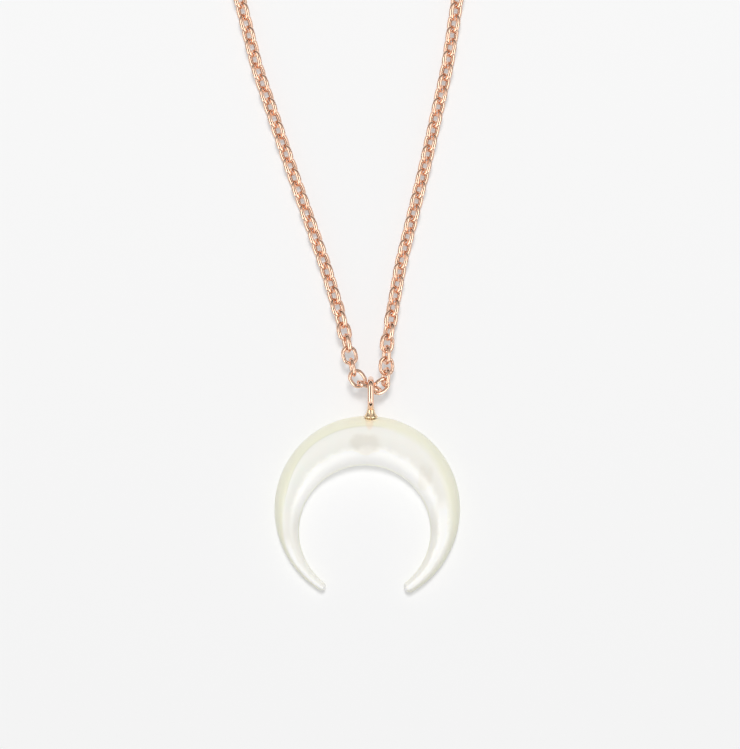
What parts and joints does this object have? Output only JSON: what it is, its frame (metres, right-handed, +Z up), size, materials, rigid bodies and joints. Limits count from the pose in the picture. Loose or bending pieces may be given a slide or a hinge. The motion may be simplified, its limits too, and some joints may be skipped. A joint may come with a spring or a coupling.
{
  "type": "pendant necklace",
  "caption": "Pendant necklace: a domed mother-of-pearl crescent hangs by a wire bail from a fine cable chain that closes with a lobster clasp.",
  "frame": {"origin": "on the crescent's flat back, in the middle of its widest part, under the bail", "axes": "+X across the pendant, +Y from the pendant along the laid-out chain to the clasp, +Z up from the table, out of the crescent's domed front"},
  "size_m": [0.0728, 0.2264, 0.0047],
  "materials": {
    "mother_of_pearl": "polished mother-of-pearl, cream white with a soft pink and green sheen",
    "rose_gold": "polished rose-gold plate",
    "cement": "clear jeweller's epoxy, set",
    "spring_steel": "drawn spring wire"
  },
  "bodies": {
    "chain_centre": {"chain_centre": "rose_gold"},
    "centre_link": {"centre_link": "rose_gold"},
    "pendant": {"crescent": "mother_of_pearl", "bail_eye": "rose_gold", "bail_cup": "rose_gold", "bail_peg": "rose_gold", "peg_cement": "cement"},
    "chain_left_01": {"chain_left_01": "rose_gold"},
    "chain_right_01": {"chain_right_01": "rose_gold"},
    "chain_left_02": {"chain_left_02": "rose_gold"},
    "chain_right_02": {"chain_right_02": "rose_gold"},
    "chain_left_03": {"chain_left_03": "rose_gold"},
    "chain_right_03": {"chain_right_03": "rose_gold"},
    "chain_left_04": {"chain_left_04": "rose_gold"},
    "chain_right_04": {"chain_right_04": "rose_gold"},
    "chain_left_05": {"chain_left_05": "rose_gold"},
    "chain_right_05": {"chain_right_05": "rose_gold"},
    "chain_left_06": {"chain_left_06": "rose_gold"},
    "chain_right_06": {"chain_right_06": "rose_gold"},
    "chain_left_07": {"chain_left_07": "rose_gold"},
    "chain_right_07": {"chain_right_07": "rose_gold"},
    "chain_left_08": {"chain_left_08": "rose_gold"},
    "chain_right_08": {"chain_right_08": "rose_gold"},
    "chain_left_09": {"chain_left_09": "rose_gold"},
    "chain_right_09": {"chain_right_09": "rose_gold"},
    "chain_left_10": {"chain_left_10": "rose_gold"},
    "chain_right_10": {"chain_right_10": "rose_gold"},
    "chain_left_11": {"chain_left_11": "rose_gold"},
    "chain_right_11": {"chain_right_11": "rose_gold"},
    "chain_left_12": {"chain_left_12": "rose_gold"},
    "chain_right_12": {"chain_right_12": "rose_gold"},
    "chain_left_13": {"chain_left_13": "rose_gold"},
    "chain_right_13": {"chain_right_13": "rose_gold"},
    "chain_left_14": {"chain_left_14": "rose_gold"},
    "chain_right_14": {"chain_right_14": "rose_gold"},
    "clasp_ring": {"clasp_ring": "rose_gold"},
    "clasp": {"clasp_body": "rose_gold", "clasp_pin": "rose_gold", "clasp_spring": "spring_steel"},
    "clasp_lever": {"clasp_lever": "rose_gold"},
    "end_ring": {"end_ring": "rose_gold"}
  },
  "joints": [
    {"name": "centre_link_roll", "type": "hinge", "parent": "chain_centre", "child": "centre_link", "pos_m": [0.00024, 0.00736, 0.00265], "axis": [0.9397, -0.3368, -0.0594], "range_deg": [-5, 5]},
    {"name": "pendant_swing", "type": "hinge", "parent": "centre_link", "child": "pendant", "pos_m": [0.00046, 0.00806, 0.00278], "axis": [0, -0.1736, 0.9848], "range_deg": [-25, 25]},
    {"name": "left_fold_01", "type": "hinge", "parent": "chain_centre", "child": "chain_left_01", "pos_m": [-0.00256, 0.01226, 0.00194], "axis": [1, 0, 0], "range_deg": [-25, 25]},
    {"name": "right_fold_01", "type": "hinge", "parent": "chain_centre", "child": "chain_right_01", "pos_m": [0.00255, 0.01226, 0.00194], "axis": [1, 0, 0], "range_deg": [-25, 25]},
    {"name": "left_fold_02", "type": "hinge", "parent": "chain_left_01", "child": "chain_left_02", "pos_m": [-0.00377, 0.01709, 0.00123], "axis": [1, 0, 0], "range_deg": [-25, 25]},
    {"name": "right_fold_02", "type": "hinge", "parent": "chain_right_01", "child": "chain_right_02", "pos_m": [0.00332, 0.01709, 0.00123], "axis": [1, 0, 0], "range_deg": [-25, 25]},
    {"name": "left_fold_03", "type": "hinge", "parent": "chain_left_02", "child": "chain_left_03", "pos_m": [-0.00518, 0.02186, 0.0009], "axis": [1, 0, 0], "range_deg": [-25, 25]},
    {"name": "right_fold_03", "type": "hinge", "parent": "chain_right_02", "child": "chain_right_03", "pos_m": [0.00416, 0.02186, 0.0009], "axis": [1, 0, 0], "range_deg": [-25, 25]},
    {"name": "left_fold_04", "type": "hinge", "parent": "chain_left_03", "child": "chain_left_04", "pos_m": [-0.01062, 0.03766, 0.0009], "axis": [1, 0, 0], "range_deg": [-25, 25]},
    {"name": "right_fold_04", "type": "hinge", "parent": "chain_right_03", "child": "chain_right_04", "pos_m": [0.00792, 0.03766, 0.0009], "axis": [1, 0, 0], "range_deg": [-25, 25]},
    {"name": "left_fold_05", "type": "hinge", "parent": "chain_left_04", "child": "chain_left_05", "pos_m": [-0.01568, 0.05357, 0.0009], "axis": [1, 0, 0], "range_deg": [-25, 25]},
    {"name": "right_fold_05", "type": "hinge", "parent": "chain_right_04", "child": "chain_right_05", "pos_m": [0.01124, 0.05357, 0.0009], "axis": [1, 0, 0], "range_deg": [-25, 25]},
    {"name": "left_fold_06", "type": "hinge", "parent": "chain_left_05", "child": "chain_left_06", "pos_m": [-0.01972, 0.06979, 0.0009], "axis": [1, 0, 0], "range_deg": [-25, 25]},
    {"name": "right_fold_06", "type": "hinge", "parent": "chain_right_05", "child": "chain_right_06", "pos_m": [0.01366, 0.06979, 0.0009], "axis": [1, 0, 0], "range_deg": [-25, 25]},
    {"name": "left_fold_07", "type": "hinge", "parent": "chain_left_06", "child": "chain_left_07", "pos_m": [-0.02377, 0.086, 0.0009], "axis": [1, 0, 0], "range_deg": [-25, 25]},
    {"name": "right_fold_07", "type": "hinge", "parent": "chain_right_06", "child": "chain_right_07", "pos_m": [0.01609, 0.086, 0.0009], "axis": [1, 0, 0], "range_deg": [-25, 25]},
    {"name": "left_fold_08", "type": "hinge", "parent": "chain_left_07", "child": "chain_left_08", "pos_m": [-0.02781, 0.10221, 0.0009], "axis": [1, 0, 0], "range_deg": [-25, 25]},
    {"name": "right_fold_08", "type": "hinge", "parent": "chain_right_07", "child": "chain_right_08", "pos_m": [0.01851, 0.10221, 0.0009], "axis": [1, 0, 0], "range_deg": [-25, 25]},
    {"name": "left_fold_09", "type": "hinge", "parent": "chain_left_08", "child": "chain_left_09", "pos_m": [-0.03185, 0.11842, 0.0009], "axis": [1, 0, 0], "range_deg": [-25, 25]},
    {"name": "right_fold_09", "type": "hinge", "parent": "chain_right_08", "child": "chain_right_09", "pos_m": [0.02093, 0.11842, 0.0009], "axis": [1, 0, 0], "range_deg": [-25, 25]},
    {"name": "left_fold_10", "type": "hinge", "parent": "chain_left_09", "child": "chain_left_10", "pos_m": [-0.03589, 0.13464, 0.0009], "axis": [1, 0, 0], "range_deg": [-25, 25]},
    {"name": "right_fold_10", "type": "hinge", "parent": "chain_right_09", "child": "chain_right_10", "pos_m": [0.02335, 0.13464, 0.0009], "axis": [1, 0, 0], "range_deg": [-25, 25]},
    {"name": "left_fold_11", "type": "hinge", "parent": "chain_left_10", "child": "chain_left_11", "pos_m": [-0.03993, 0.15085, 0.0009], "axis": [1, 0, 0], "range_deg": [-25, 25]},
    {"name": "right_fold_11", "type": "hinge", "parent": "chain_right_10", "child": "chain_right_11", "pos_m": [0.02578, 0.15085, 0.0009], "axis": [1, 0, 0], "range_deg": [-25, 25]},
    {"name": "left_fold_12", "type": "hinge", "parent": "chain_left_11", "child": "chain_left_12", "pos_m": [-0.04307, 0.16722, 0.0009], "axis": [1, 0, 0], "range_deg": [-25, 25]},
    {"name": "right_fold_12", "type": "hinge", "parent": "chain_right_11", "child": "chain_right_12", "pos_m": [0.0279, 0.16722, 0.0009], "axis": [1, 0, 0], "range_deg": [-25, 25]},
    {"name": "left_fold_13", "type": "hinge", "parent": "chain_left_12", "child": "chain_left_13", "pos_m": [-0.03948, 0.18338, 0.0009], "axis": [1, 0, 0], "range_deg": [-25, 25]},
    {"name": "right_fold_13", "type": "hinge", "parent": "chain_right_12", "child": "chain_right_13", "pos_m": [0.02432, 0.18338, 0.0009], "axis": [1, 0, 0], "range_deg": [-25, 25]},
    {"name": "left_fold_14", "type": "hinge", "parent": "chain_left_13", "child": "chain_left_14", "pos_m": [-0.02895, 0.19615, 0.0009], "axis": [1, 0, 0], "range_deg": [-25, 25]},
    {"name": "right_fold_14", "type": "hinge", "parent": "chain_right_13", "child": "chain_right_14", "pos_m": [0.0138, 0.19615, 0.0009], "axis": [1, 0, 0], "range_deg": [-25, 25]},
    {"name": "clasp_ring_roll", "type": "hinge", "parent": "chain_left_14", "child": "clasp_ring", "pos_m": [-0.01378, 0.20278, 0.00165], "axis": [1, 0, 0], "range_deg": [-10, 10]},
    {"name": "clasp_roll", "type": "hinge", "parent": "clasp_ring", "child": "clasp", "pos_m": [-0.01232, 0.20278, 0.00165], "axis": [1, 0, 0], "range_deg": [-10, 10]},
    {"name": "clasp_lever_open", "type": "hinge", "parent": "clasp", "child": "clasp_lever", "pos_m": [-0.00857, 0.20368, 0.00165], "axis": [0, 0, -1], "range_deg": [0, 30], "stiffness_Nm_per_rad": 0.005, "springref_deg": -20.05},
    {"name": "end_ring_roll", "type": "hinge", "parent": "chain_right_14", "child": "end_ring", "pos_m": [-0.00138, 0.20278, 0.00165], "axis": [1, 0, 0], "range_deg": [-10, 10]}
  ],
  "couplings": [
    {"joint": "right_fold_01", "follows": "left_fold_01", "ratio": 1},
    {"joint": "right_fold_02", "follows": "left_fold_02", "ratio": 1},
    {"joint": "right_fold_03", "follows": "left_fold_03", "ratio": 1},
    {"joint": "right_fold_04", "follows": "left_fold_04", "ratio": 1},
    {"joint": "right_fold_05", "follows": "left_fold_05", "ratio": 1},
    {"joint": "right_fold_06", "follows": "left_fold_06", "ratio": 1},
    {"joint": "right_fold_07", "follows": "left_fold_07", "ratio": 1},
    {"joint": "right_fold_08", "follows": "left_fold_08", "ratio": 1},
    {"joint": "right_fold_09", "follows": "left_fold_09", "ratio": 1},
    {"joint": "right_fold_10", "follows": "left_fold_10", "ratio": 1},
    {"joint": "right_fold_11", "follows": "left_fold_11", "ratio": 1},
    {"joint": "right_fold_12", "follows": "left_fold_12", "ratio": 1},
    {"joint": "right_fold_13", "follows": "left_fold_13", "ratio": 1},
    {"joint": "right_fold_14", "follows": "left_fold_14", "ratio": 1}
  ]
}
